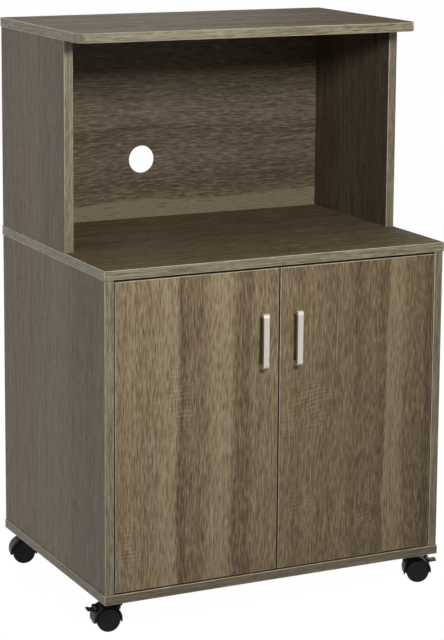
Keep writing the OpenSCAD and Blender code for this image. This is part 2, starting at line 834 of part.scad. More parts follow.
for (i = [0:3]) {
    caster_plate(i);
    caster_hood(i);
    caster_axle(i);
    caster_wheel(i, 1);
    caster_wheel(i, -1);
}
caster_kingpins();
caster_screws();
brake_lever(0);  // brake_lever_left
brake_lever(1);  // brake_lever_right
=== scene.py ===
"""Microwave cart: a laminated two-door cabinet on four swivel casters, with an open hutch on it.

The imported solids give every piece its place. This script gives the boards their eased arrises
and edge bands, and every surface its finish. Lengths are in metres, in the frame of the solids:
+X is the cart's right as seen from the front, -Y is the front and +Z is up.
"""

import logging
import math
from dataclasses import dataclass, field
from enum import Enum, IntEnum
from typing import Self

import bmesh
import bpy
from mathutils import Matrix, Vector


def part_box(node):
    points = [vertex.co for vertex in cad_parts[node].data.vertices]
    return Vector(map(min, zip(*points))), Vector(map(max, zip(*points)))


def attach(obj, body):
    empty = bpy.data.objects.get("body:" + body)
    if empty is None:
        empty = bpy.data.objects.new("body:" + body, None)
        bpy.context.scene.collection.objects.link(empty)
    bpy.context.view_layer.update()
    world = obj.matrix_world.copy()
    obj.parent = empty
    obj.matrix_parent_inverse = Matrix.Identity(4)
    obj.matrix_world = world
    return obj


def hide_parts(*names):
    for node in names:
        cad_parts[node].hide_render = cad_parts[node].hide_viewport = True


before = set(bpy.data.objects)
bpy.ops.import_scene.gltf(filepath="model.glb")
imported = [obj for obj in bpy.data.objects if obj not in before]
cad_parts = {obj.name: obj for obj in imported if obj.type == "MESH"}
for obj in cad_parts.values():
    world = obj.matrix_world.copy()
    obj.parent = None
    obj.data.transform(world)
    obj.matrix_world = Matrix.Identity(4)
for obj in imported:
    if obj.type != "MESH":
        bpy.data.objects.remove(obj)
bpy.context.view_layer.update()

MM = 0.001
LOG = logging.getLogger("microwave_cart")
WHITE = (1.0, 1.0, 1.0, 1.0)

Colour = tuple[float, float, float, float]
Socket = bpy.types.NodeSocket


def hex_colour(code: str) -> Colour:
    """Turns a written colour into the linear one that a shader takes.

    Args:
        code: Six hexadecimal digits after a hash, as a screen shows the colour.

    Returns:
        Linear red, green and blue, and an alpha of one.
    """
    parts = [int(code[i:i + 2], 16) / 255 for i in (1, 3, 5)]
    # The sRGB curve: straight near black, and a power above.
    linear = [c / 12.92 if c <= 0.04045 else ((c + 0.055) / 1.055) ** 2.4 for c in parts]
    return (*linear, 1.0)


def linked(name: str, data: bpy.types.ID) -> bpy.types.Object:
    """Adds an object to the scene.

    Args:
        name: The object's name.
        data: Its mesh, camera or light.

    Returns:
        The object.
    """
    made = bpy.data.objects.new(name, data)
    bpy.context.scene.collection.objects.link(made)
    return made


# ------------------------------------------------------------------ shader trees


class ShaderTree:
    """Adds nodes to one node tree and links them."""

    # Where the Mix node has its sockets for colours.
    mix_colours = (6, 7)
    mix_result = 2

    def __init__(self, tree: bpy.types.NodeTree) -> None:
        """Takes the tree to fill: a material's, a group's or the world's."""
        self.tree = tree

    @classmethod
    def of(cls, owner: bpy.types.ID) -> Self:
        """Empties the tree of a material or the world, to fill it anew.

        Args:
            owner: The material or the world.

        Returns:
            The tree.
        """
        owner.use_nodes = True
        owner.node_tree.nodes.clear()
        return cls(owner.node_tree)

    def add(self, kind: str, inputs: dict | None = None, **settings: object) -> bpy.types.Node:
        """Adds one node.

        Args:
            kind: The node's type name.
            inputs: What each input socket gets, by name or number: a value or another socket.
            **settings: The node's own properties.

        Returns:
            The new node.
        """
        node = self.tree.nodes.new(kind)
        for name, value in settings.items():
            setattr(node, name, value)
        for name, value in (inputs or {}).items():
            self.feed(node.inputs[name], value)
        return node

    def feed(self, socket: Socket, value: object) -> None:
        """Gives an input socket a value or a link.

        Args:
            socket: The input.
            value: Another node's output, a plain value, or a colour as hex_colour takes it.
        """
        if isinstance(value, bpy.types.NodeSocket):
            self.tree.links.new(value, socket)
        else:
            socket.default_value = hex_colour(value) if isinstance(value, str) else value

    def math(self, operation: str, *values: object) -> Socket:
        """Does one sum: the Math node's operation on its inputs in order."""
        return self.add("ShaderNodeMath", dict(enumerate(values)), operation=operation).outputs[0]

    def times(self, *values: object) -> Socket:
        """Multiplies two numbers."""
        return self.math("MULTIPLY", *values)

    def vector_math(self, operation: str, *values: object) -> Socket:
        """Does one vector sum: the Vector Math node's operation on its inputs in order."""
        return self.add("ShaderNodeVectorMath", dict(enumerate(values)),
                        operation=operation).outputs[0]

    def parts(self, vector: Socket) -> bpy.types.NodeOutputs:
        """Splits a vector into its three numbers."""
        return self.add("ShaderNodeSeparateXYZ", {0: vector}).outputs

    def noise(self, vector: Socket, stretch: tuple[float, float, float], detail: float = 2.0,
              roughness: float = 0.5) -> Socket:
        """Adds a noise whose grain is a different size along each axis.

        Args:
            vector: Where on the piece, in metres.
            stretch: Cells in a metre along each axis.
            detail: Octaves of the noise.
            roughness: How strong the finer octaves are.

        Returns:
            The noise, about a half on average.
        """
        scaled = self.vector_math("MULTIPLY", vector, stretch)
        node = self.add("ShaderNodeTexNoise", {"Vector": scaled, "Scale": 1.0, "Detail": detail,
                                               "Roughness": roughness})
        return node.outputs[0]

    def remap(self, value: Socket, start: float, end: float, low: float = 0.0,
              high: float = 1.0) -> Socket:
        """Maps one range of numbers to another, and holds the result inside it.

        Args:
            value: What is mapped.
            start: The value that becomes low.
            end: The value that becomes high.
            low: The result's one end.
            high: The result's other end.

        Returns:
            The mapped value.
        """
        node = self.add("ShaderNodeMapRange", {"Value": value, 1: start, 2: end, 3: low, 4: high},
                        clamp=True)
        return node.outputs[0]

    def mix(self, share: object, first: object, second: object) -> Socket:
        """Mixes two colours.

        Args:
            share: How much of the second, from zero to one.
            first: The first colour.
            second: The second colour.

        Returns:
            The mixed colour.
        """
        inputs = {0: share, **dict(zip(self.mix_colours, (first, second)))}
        return self.add("ShaderNodeMix", inputs, data_type="RGBA").outputs[self.mix_result]

    def ramp(self, value: Socket, stops: list[tuple[float, Colour]]) -> Socket:
        """Turns a number into a colour.

        Args:
            value: A number from zero to one.
            stops: Places from zero to one, each with its colour.

        Returns:
            The colour.
        """
        node = self.add("ShaderNodeValToRGB", {0: value})
        elements = node.color_ramp.elements
        node.color_ramp.interpolation = "LINEAR"
        while len(elements) < len(stops):
            elements.new(0.5)
        for element, (place, colour) in zip(elements, stops):
            element.position = place
            element.color = colour
        return node.outputs[0]

    def group(self, effect: type["Effect"], **inputs: object) -> bpy.types.NodeOutputs:
        """Places a shared effect, with what its inputs get, and gives its outputs."""
        return self.add("ShaderNodeGroup", inputs, node_tree=effect.tree()).outputs


class Skin(ShaderTree):
    """A material's tree with its shader, and where on the piece each point is, in metres."""

    def __init__(self, tree: bpy.types.NodeTree) -> None:
        """Gives an empty tree its shader.

        Args:
            tree: The material's tree.
        """
        super().__init__(tree)
        self.shader = self.add("ShaderNodeBsdfPrincipled")
        end = self.add("ShaderNodeOutputMaterial")
        self.feed(end.inputs["Surface"], self.shader.outputs["BSDF"])
        self.place = self.add("ShaderNodeTexCoord").outputs["Object"]

    def coat(self, colour: Socket, roughness: Socket, gloss: float = 0.5) -> None:
        """Feeds the shader.

        Args:
            colour: Its base colour.
            roughness: Its roughness.
            gloss: Its Specular IOR Level.
        """
        self.feed(self.shader.inputs["Base Color"], colour)
        self.feed(self.shader.inputs["Roughness"], roughness)
        self.feed(self.shader.inputs["Specular IOR Level"], gloss)

    def bump(self, height: Socket, strength: float, depth: float,
             normal: Socket | None = None) -> None:
        """Raises the surface.

        Args:
            height: How high each place is.
            strength: The Bump node's strength.
            depth: What a height of one measures, in metres.
            normal: The normal to start from, if it isn't the surface's own.
        """
        inputs = {"Strength": strength, "Distance": depth, "Height": height}
        if normal is not None:
            inputs["Normal"] = normal
        self.feed(self.shader.inputs["Normal"], self.add("ShaderNodeBump", inputs).outputs[0])

    def flakes(self, scale: float) -> Socket:
        """Gives each cell of a cell pattern its own number."""
        cells = self.add("ShaderNodeTexVoronoi", {"Vector": self.place, "Scale": scale})
        return self.add("ShaderNodeSeparateColor", {0: cells.outputs["Color"]}).outputs[0]


@dataclass(frozen=True)
class Port:
    """One named input or output of a shared effect."""

    name: str
    kind: str = "NodeSocketFloat"


PLACE = Port("Vector", "NodeSocketVector")


class Effect:
    """A shader effect that several finishes share, kept as one node group."""

    title = "effect"
    inputs: tuple[Port, ...] = ()
    outputs: tuple[Port, ...] = ()

    @classmethod
    def tree(cls) -> bpy.types.NodeTree:
        """Builds the group once, and gives the same one each time.

        Returns:
            The node group.
        """
        made = bpy.data.node_groups.get(cls.title)
        if made:
            return made
        made = bpy.data.node_groups.new(cls.title, "ShaderNodeTree")
        for way, ports in (("INPUT", cls.inputs), ("OUTPUT", cls.outputs)):
            for port in ports:
                made.interface.new_socket(port.name, in_out=way, socket_type=port.kind)
        kit = ShaderTree(made)
        results = cls.draw(kit, kit.add("NodeGroupInput").outputs)
        end = kit.add("NodeGroupOutput")
        for name, value in results.items():
            kit.feed(end.inputs[name], value)
        return made

    @classmethod
    def draw(cls, kit: ShaderTree, given: bpy.types.NodeOutputs) -> dict[str, Socket]:
        """Fills the group from its inputs, and says what each output gets."""
        raise NotImplementedError


class GrainSway(Effect):
    """Lets straight grain wander: a slow drift across it, and a finer waver."""

    title = "grain_sway"
    inputs = (PLACE, Port("Drift"), Port("Waver"))
    outputs = (PLACE,)

    @classmethod
    def draw(cls, kit: ShaderTree, given: bpy.types.NodeOutputs) -> dict[str, Socket]:
        """Moves each place across the grain by two noises that are long along it.

        Args:
            kit: The group's tree.
            given: The group's inputs.

        Returns:
            The moved place.
        """
        place = given["Vector"]
        slow = kit.math("SUBTRACT", kit.noise(place, (3.5, 3.5, 2.4), 1), 0.5)
        fine = kit.math("SUBTRACT", kit.noise(place, (14, 14, 4.5), 1), 0.5)
        shift = kit.math("ADD", kit.times(slow, given["Drift"]), kit.times(fine, given["Waver"]))
        across = kit.add("ShaderNodeCombineXYZ", {0: shift, 1: shift}).outputs[0]
        return {"Vector": kit.vector_math("ADD", place, across)}


class RingField(Effect):
    """How far a place is from the heart of the growth rings, whose arches close above a crown."""

    title = "ring_field"
    inputs = (PLACE, Port("Heart"), Port("Crown"), Port("Taper"))
    outputs = (Port("Radius"),)

    @classmethod
    def draw(cls, kit: ShaderTree, given: bpy.types.NodeOutputs) -> dict[str, Socket]:
        """Takes the distance across the grain, and above the crown a share of that along it.

        Args:
            kit: The group's tree.
            given: The group's inputs.

        Returns:
            The radius of the ring that the saw meets there.
        """
        parts = kit.parts(given["Vector"])
        side = kit.math("SUBTRACT", parts[0], given["Heart"])
        above = kit.math("MAXIMUM", kit.math("SUBTRACT", parts[2], given["Crown"]), 0.0)
        rise = kit.times(above, given["Taper"])
        square = kit.math("ADD", kit.times(side, side), kit.times(rise, rise))
        return {"Radius": kit.math("SQRT", square)}


class OakGrain(Effect):
    """Rough-sawn oak as a laminate prints it, with its grain along the vector's Z."""

    title = "oak_grain"
    inputs = (PLACE, Port("Radius"), Port("Broad"), Port("Rings"), Port("Streak"), Port("Fibre"))
    outputs = (Port("Tone"), Port("Pores"), Port("Flecks"), Port("Height"))
    broad_cells = (30, 6, 1.1)
    ring_cells = (190, 22, 2.6)
    streak_cells = (430, 430, 10)
    fibre_cells = (470, 470, 58)
    pore_cells = (520, 520, 44)
    fleck_cells = (520, 520, 52)
    fleck_shift = (0.37, 0.11, 0.53)
    sparse = (0.66, 0.80)

    @classmethod
    def draw(cls, kit: ShaderTree, given: bpy.types.NodeOutputs) -> dict[str, Socket]:
        """Lays broad bands and rings, streaks, fibres, dark pores and pale flecks over each other.

        Args:
            kit: The group's tree.
            given: The group's inputs.

        Returns:
            The tone, about a half on average, the two masks, and the height of the surface.
        """
        place = given["Vector"]
        parts = kit.parts(place)
        ring = kit.add("ShaderNodeCombineXYZ", {
            0: given["Radius"], 1: kit.math("ADD", parts[0], parts[1]), 2: parts[2]}).outputs[0]
        fibre = kit.noise(place, cls.fibre_cells, 0)
        layers = {"Broad": kit.noise(ring, cls.broad_cells, 2, 0.55),
                  "Rings": kit.noise(ring, cls.ring_cells, 2, 0.65),
                  "Streak": kit.noise(place, cls.streak_cells, 0), "Fibre": fibre}
        tone = 0.5
        for port, layer in layers.items():
            swing = kit.times(kit.math("SUBTRACT", layer, 0.5), given[port])
            tone = kit.math("ADD", tone, swing)
        pores = kit.remap(kit.noise(place, cls.pore_cells, 0), *cls.sparse)
        shifted = kit.vector_math("ADD", place, cls.fleck_shift)
        flecks = kit.remap(kit.noise(shifted, cls.fleck_cells, 0), *cls.sparse)
        height = kit.math("SUBTRACT", kit.times(fibre, 0.5), pores)
        return {"Tone": tone, "Pores": pores, "Flecks": flecks, "Height": height}


class SawMarks(Effect):
    """A patch of faint pale scratches nearly square to the grain, as a band saw leaves them."""

    title = "saw_marks"
    inputs = (PLACE, Port("Across"), Port("Along"), Port("Width"), Port("Length"), Port("Pitch"),
              Port("Tilt"))
    outputs = (Port("Marks"),)

    @classmethod
    def draw(cls, kit: ShaderTree, given: bpy.types.NodeOutputs) -> dict[str, Socket]:
        """Draws thin even lines, bends and breaks them, and lets them fade round the patch.

        Args:
            kit: The group's tree.
            given: The group's inputs.

        Returns:
            The scratches, from zero to one.
        """
        parts = kit.parts(given["Vector"])
        bend = kit.times(kit.noise(given["Vector"], (11, 11, 9), 2), 0.022)
        slant = kit.times(parts[0], given["Tilt"])
        along = kit.math("ADD", kit.math("SUBTRACT", parts[2], slant), bend)
        turns = kit.times(kit.math("DIVIDE", along, given["Pitch"]), math.tau)
        lines = kit.remap(kit.math("SINE", turns), 0.1, 1.0)
        u = kit.math("DIVIDE", kit.math("SUBTRACT", parts[0], given["Across"]), given["Width"])
        v = kit.math("DIVIDE", kit.math("SUBTRACT", parts[2], given["Along"]), given["Length"])
        reach = kit.math("ADD", kit.times(u, u), kit.times(v, v))
        patch = kit.math("EXPONENT", kit.times(reach, -1.0))
        cloud = kit.remap(kit.noise(given["Vector"], (48, 48, 40), 2), 0.38, 0.60)
        thread = kit.remap(kit.noise(given["Vector"], (240, 240, 420), 1), 0.30, 0.62)
        return {"Marks": kit.times(lines, kit.times(kit.times(cloud, thread), patch))}


class EdgeWear(Effect):
    """Where a piece's edges have rubbed: a broken mask along them."""

    title = "edge_wear"
    inputs = (PLACE, Port("Width"), Port("Breaks"))
    outputs = (Port("Mask"), Port("Normal", "NodeSocketVector"))

    @classmethod
    def draw(cls, kit: ShaderTree, given: bpy.types.NodeOutputs) -> dict[str, Socket]:
        """Finds edges where the rounded normal leaves the true one.

        Args:
            kit: The group's tree.
            given: The group's inputs.

        Returns:
            The mask, and the normal with its edges rounded.
        """
        rounded = kit.add("ShaderNodeBevel", {"Radius": given["Width"]}, samples=4).outputs[0]
        true = kit.add("ShaderNodeNewGeometry").outputs["True Normal"]
        facing = kit.add("ShaderNodeVectorMath", {0: rounded, 1: true},
                         operation="DOT_PRODUCT").outputs["Value"]
        edge = kit.remap(facing, 0.995, 0.80)
        breaks = kit.add("ShaderNodeTexNoise", {"Vector": given["Vector"],
                                                "Scale": given["Breaks"], "Detail": 3.0})
        broken = kit.remap(breaks.outputs[0], 0.42, 0.62)
        return {"Mask": kit.times(edge, broken), "Normal": rounded}


class FineDust(Effect):
    """A thin settled film: more on faces that look up, in soft clouds."""

    title = "fine_dust"
    inputs = (PLACE, Port("Amount"))
    outputs = (Port("Mask"),)

    @classmethod
    def draw(cls, kit: ShaderTree, given: bpy.types.NodeOutputs) -> dict[str, Socket]:
        """Weighs clouds of noise by how far the surface looks up.

        Args:
            kit: The group's tree.
            given: The group's inputs.

        Returns:
            The mask.
        """
        normal = kit.add("ShaderNodeNewGeometry").outputs["Normal"]
        upward = kit.remap(kit.parts(normal)[2], -0.2, 1.0, 0.25, 1.0)
        clouds = kit.remap(kit.noise(given["Vector"], (60, 60, 60), 4, 0.6), 0.35, 0.75)
        return {"Mask": kit.times(kit.times(clouds, upward), given["Amount"])}


# ------------------------------------------------------------------ finishes


class Grain(Enum):
    """Which way the grain runs on which face, as the turn that brings it upright and face on."""

    UPRIGHT = (0.0, 0.0, 0.0)
    UPRIGHT_SIDE = (0.0, 0.0, math.pi / 2)
    LEVEL = (0.0, math.pi / 2, 0.0)
    LEVEL_FLAT = (0.0, math.pi / 2, math.pi / 2)
    DEEP = (math.pi / 2, 0.0, 0.0)


@dataclass(frozen=True)
class Heart:
    """The middle of one set of growth rings: where it lies, and how its arches close above."""

    across: float
    crown: float
    taper: float


@dataclass(frozen=True)
class SawPatch:
    """One patch of saw scratches: its middle and size across and along the grain."""

    across: float
    along: float
    width: float
    length: float
    tilt: float
    pitch: float = 0.0075


class Finish:
    """A finish that is dressed on pieces through one material."""

    name: str

    def material(self) -> bpy.types.Material:
        """Gives the finish's material, made on first use under a name that no CAD slot has.

        Returns:
            The material.
        """
        title = "finish_" + self.name
        made = bpy.data.materials.get(title)
        if not made:
            made = bpy.data.materials.new(title)
            self.dress(Skin.of(made))
        return made

    def dress(self, kit: Skin) -> None:
        """Fills the material's tree."""
        raise NotImplementedError


@dataclass(frozen=True)
class Laminate(Finish):
    """Grey-brown oak melamine, printed with bands, growth rings, pores and saw marks."""

    name: str
    grain: Grain
    offset: tuple[float, float, float]
    shade: str
    middle: str
    light: str
    tilt: float = 0.0
    broad: float = 0.9
    rings: float = 0.8
    streak: float = 0.8
    fibre: float = 0.6
    drift: float = 0.03
    waver: float = 0.004
    bands: tuple[tuple[float, float], ...] = ()
    span: tuple[float, float] = (0.0, 1.0)
    depth: float = 1.0
    hearts: tuple[Heart, ...] = ()
    saw_patches: tuple[SawPatch, ...] = ()
    saw: float = 0.6
    pore: str = "#3a301f"
    fleck: str = "#b5a88a"
    roughness: float = 0.52
    gloss: float = 0.25

    def dress(self, kit: Skin) -> None:
        """Prints the oak on the board.

        Args:
            kit: The material's tree.
        """
        x, y, z = self.grain.value
        turned = kit.add("ShaderNodeMapping", {
            "Vector": kit.place, "Rotation": (x, y + self.tilt, z),
            "Location": self.offset}).outputs[0]
        swayed = kit.group(GrainSway, Vector=turned, Drift=self.drift, Waver=self.waver)["Vector"]
        oak = kit.group(OakGrain, Vector=swayed, Radius=self.ring_radius(kit, swayed),
                        Broad=self.broad, Rings=self.rings, Streak=self.streak, Fibre=self.fibre)
        tone = oak["Tone"]
        if self.bands:
            tone = kit.math("ADD", tone, self.band_tone(kit, swayed))
        for patch in self.saw_patches:
            marks = kit.group(SawMarks, Vector=turned, Across=patch.across, Along=patch.along,
                              Width=patch.width, Length=patch.length, Pitch=patch.pitch,
                              Tilt=patch.tilt)["Marks"]
            tone = kit.math("ADD", tone, kit.times(marks, self.saw))
        stops = zip((0.0, 0.5, 1.0), map(hex_colour, (self.shade, self.middle, self.light)))
        colour = kit.ramp(tone, list(stops))
        colour = kit.mix(kit.times(oak["Pores"], 0.5), colour, self.pore)
        colour = kit.mix(kit.times(oak["Flecks"], 0.32), colour, self.fleck)
        rough = kit.remap(oak["Height"], -1.0, 0.5, self.roughness + 0.12, self.roughness - 0.03)
        kit.coat(colour, rough, self.gloss)
        kit.bump(oak["Height"], 0.22, 0.2 * MM)

    def ring_radius(self, kit: ShaderTree, swayed: Socket) -> Socket:
        """Gives the radius of the growth ring at each place, from the nearest heart.

        Args:
            kit: The material's tree.
            swayed: Where on the piece, with Z along the grain.

        Returns:
            The radius, or just the place across the grain where the print has no heart.
        """
        radius = None
        for heart in self.hearts:
            here = kit.group(RingField, Vector=swayed, Heart=heart.across, Crown=heart.crown,
                             Taper=heart.taper)["Radius"]
            radius = here if radius is None else kit.math("MINIMUM", radius, here)
        return kit.parts(swayed)[0] if radius is None else radius

    def band_tone(self, kit: ShaderTree, swayed: Socket) -> Socket:
        """Gives the slow tone of each band across the board.

        Args:
            kit: The material's tree.
            swayed: Where on the piece, with Z along the grain.

        Returns:
            What is added to the tone, about zero on average.
        """
        share = kit.remap(kit.parts(swayed)[0], *self.span)
        grey = kit.ramp(share, [(u, (t, t, t, 1.0)) for u, t in self.bands])
        return kit.times(kit.math("SUBTRACT", grey, 0.5), self.depth)


@dataclass(frozen=True)
class EdgeBand(Finish):
    """The strip glued on a board's edges: paler than the faces, with fine lines along it."""

    name: str
    grain: Grain
    shade: str = "#685e48"
    light: str = "#a69b81"
    pore: str = "#453a27"

    def dress(self, kit: Skin) -> None:
        """Draws the strip's fine lines.

        Args:
            kit: The material's tree.
        """
        turned = kit.add("ShaderNodeMapping", {"Vector": kit.place,
                                               "Rotation": self.grain.value}).outputs[0]
        swayed = kit.group(GrainSway, Vector=turned, Drift=0.02, Waver=0.006)["Vector"]
        oak = kit.group(OakGrain, Vector=swayed, Radius=kit.parts(swayed)[0], Broad=0.4,
                        Rings=0.6, Streak=0.9, Fibre=0.9)
        colour = kit.mix(kit.remap(oak["Tone"], 0.1, 0.9), self.shade, self.light)
        colour = kit.mix(kit.times(oak["Pores"], 0.5), colour, self.pore)
        kit.coat(colour, kit.remap(oak["Tone"], 0.0, 1.0, 0.54, 0.42))
        kit.bump(oak["Height"], 0.2, 0.2 * MM)


@dataclass(frozen=True)
class Arris(Finish):
    """The eased corner between face and edge band, painted pale: a painted highlight where the
    corner catches the light.
    """

    name: str
    shade: str = "#b4a98e"
    light: str = "#ded4ba"

    def dress(self, kit: Skin) -> None:
        """Paints the corner pale in patches, as a painted highlight.

        Args:
            kit: The material's tree.
        """
        patches = kit.noise(kit.place, (45, 45, 45), 3, 0.6)
        # Painted highlight: the eased corner is coloured paler than the band beside it.
        colour = kit.mix(kit.remap(patches, 0.35, 0.68), self.shade, self.light)
        kit.coat(colour, kit.remap(patches, 0.2, 0.8, 0.5, 0.36))


@dataclass(frozen=True)
class Chipboard(Finish):
    """Raw particleboard, as the bores and grooves cut it open."""

    name: str = "raw_chipboard"

    def dress(self, kit: Skin) -> None:
        """Lays chips of several shades, with dark glue between them.

        Args:
            kit: The material's tree.
        """
        shade = kit.flakes(520.0)
        glue = kit.noise(kit.place, (900, 900, 900), 2)
        colour = kit.mix(shade, "#8d7350", "#c3a87c")
        colour = kit.mix(kit.remap(glue, 0.55, 0.8), colour, "#6a5436")
        kit.coat(colour, kit.remap(shade, 0.0, 1.0, 0.78, 0.92))
        kit.bump(shade, 0.5, 0.4 * MM)


@dataclass(frozen=True)
class Hardboard(Finish):
    """The bare rear of a hardboard back: brown pressed fibre, marked by the press's screen."""

    name: str = "bare_hardboard"
    screen: float = 0.0016

    def dress(self, kit: Skin) -> None:
        """Lays clouds, fibres and dark shives, and presses the screen's weave in.

        Args:
            kit: The material's tree.
        """
        cloud = kit.noise(kit.place, (7, 7, 7), 3, 0.6)
        fibre = kit.noise(kit.place, (230, 230, 230), 3, 0.7)
        shives = kit.remap(kit.noise(kit.place, (90, 90, 300), 2), 0.62, 0.76)
        colour = kit.mix(kit.remap(cloud, 0.3, 0.7), "#6a5038", "#7e6248")
        colour = kit.mix(kit.remap(fibre, 0.42, 0.75, 0.0, 0.6), colour, "#987b5c")
        colour = kit.mix(kit.times(shives, 0.5), colour, "#4e3a27")
        kit.coat(colour, kit.remap(fibre, 0.2, 0.8, 0.82, 0.68), 0.2)
        x, _, z = kit.parts(kit.place)
        wires = [kit.math("SINE", kit.times(part, math.tau / self.screen)) for part in (x, z)]
        kit.bump(kit.math("ADD", kit.times(*wires), fibre), 0.3, 0.3 * MM)


@dataclass(frozen=True)
class SatinMetal(Finish):
    """Plated metal with a fine brushed lay, faint handling marks and brighter rubbed edges."""

    name: str
    tint: str
    marked: str
    roughness: float
    lay: tuple[float, float, float] = (2600.0, 2600.0, 120.0)
    spangle: float = 0.0

    def dress(self, kit: Skin) -> None:
        """Brushes the metal, marks it and rubs its edges.

        Args:
            kit: The material's tree.
        """
        brushed = kit.noise(kit.place, self.lay, 2, 0.6)
        smears = kit.noise(kit.place, (140, 140, 60), 3, 0.6)
        wear = kit.group(EdgeWear, Vector=kit.place, Width=0.6 * MM, Breaks=220.0)
        colour = kit.mix(kit.remap(smears, 0.35, 0.75, 0.0, 0.55), self.tint, self.marked)
        if self.spangle:
            colour = kit.mix(kit.times(kit.flakes(420.0), self.spangle), colour, "#8d9196")
        colour = kit.mix(kit.times(wear["Mask"], 0.6), colour, "#ebe6de")
        rough = kit.math("ADD", kit.remap(brushed, 0.2, 0.8, -0.04, 0.06),
                         kit.remap(smears, 0.2, 0.8, self.roughness - 0.05, self.roughness + 0.10))
        kit.coat(colour, rough)
        kit.shader.inputs["Metallic"].default_value = 1.0
        kit.bump(brushed, 0.10, 0.1 * MM, wear["Normal"])


@dataclass(frozen=True)
class MouldedNylon(Finish):
    """Black moulded nylon: a fine spark-eroded skin, scuffed edges and a little dust."""

    name: str
    tint: str = "#19181a"
    cloud: str = "#201f21"
    scuff: str = "#4a494c"
    roughness: float = 0.46
    skin: float = 1500.0

    def dress(self, kit: Skin) -> None:
        """Moulds the skin, scuffs its edges and dusts it.

        Args:
            kit: The material's tree.
        """
        grit = kit.noise(kit.place, (self.skin,) * 3, 2, 0.6)
        flow = kit.noise(kit.place, (55, 55, 55), 3, 0.55)
        wear = kit.group(EdgeWear, Vector=kit.place, Width=0.8 * MM, Breaks=160.0)
        dust = kit.group(FineDust, Vector=kit.place, Amount=0.06)["Mask"]
        colour = kit.mix(kit.remap(flow, 0.3, 0.7, 0.0, 0.5), self.tint, self.cloud)
        colour = kit.mix(kit.times(wear["Mask"], 0.55), colour, self.scuff)
        rough = kit.remap(flow, 0.2, 0.8, self.roughness - 0.06, self.roughness + 0.08)
        kit.coat(kit.mix(dust, colour, "#75706a"),
                 kit.math("ADD", rough, kit.times(dust, 0.5)), 0.15)
        kit.bump(grit, 0.18, 0.2 * MM, wear["Normal"])


@dataclass(frozen=True)
class BareBeech(Finish):
    """Bare turned beech with its short rays."""

    name: str = "bare_beech"

    def dress(self, kit: Skin) -> None:
        """Lays the grain and its darker rays.

        Args:
            kit: The material's tree.
        """
        grain = kit.noise(kit.place, (700, 700, 60), 3, 0.6)
        rays = kit.remap(kit.noise(kit.place, (1500, 1500, 260), 1), 0.6, 0.75)
        colour = kit.mix(kit.remap(grain, 0.3, 0.7), "#b58f5f", "#dcc096")
        colour = kit.mix(kit.times(rays, 0.5), colour, "#8d6a43")
        kit.coat(colour, kit.remap(grain, 0.2, 0.8, 0.62, 0.75))
        kit.bump(grain, 0.3, 0.2 * MM)


# The arris finish is a painted highlight along every eased corner.
ARRIS = Arris("arris_painted_highlight")
RAW = Chipboard()
BARE_REAR = Hardboard()
PALE_BANDS = (
    EdgeBand("edge_band_level", Grain.LEVEL),
    EdgeBand("edge_band_deep", Grain.DEEP),
    EdgeBand("edge_band_upright", Grain.UPRIGHT),
)
# Darker copies of the same edge bands, for the right-hand boards and the bottom panel: painted
# shade.
SHADED_BANDS = (
    EdgeBand("shaded_band_level", Grain.LEVEL, "#54483a", "#85785f"),
    EdgeBand("shaded_band_deep", Grain.DEEP, "#54483a", "#85785f"),
    EdgeBand("shaded_band_upright", Grain.UPRIGHT, "#5b5141", "#8f846d"),
)
SIDE_BANDS = (("left", PALE_BANDS), ("right", SHADED_BANDS))
NICKEL = SatinMetal("satin_nickel", tint="#cfc7be", marked="#b6ada4", roughness=0.34)
ZINC = SatinMetal("zinc_plate", tint="#b9bcbe", marked="#93979a", roughness=0.36, spangle=0.35)
HOOD_NYLON = MouldedNylon("hood_nylon")
WHEEL_NYLON = MouldedNylon("wheel_nylon", tint="#171618", roughness=0.40, skin=2200.0)
CAP_PLASTIC = MouldedNylon("cap_plastic", tint="#5a4e3c", cloud="#665a46", scuff="#8a7d66")


# ------------------------------------------------------------------ boards


class Flat(Enum):
    """The axis that a board is thin along."""

    X = 0
    Y = 1
    Z = 2


class Side(IntEnum):
    """Which of a board's materials a face gets. BAND is the first of three, one for each run."""

    FACE = 0
    BAND = 1
    ARRIS = 4
    RAW = 5
    REAR = 6


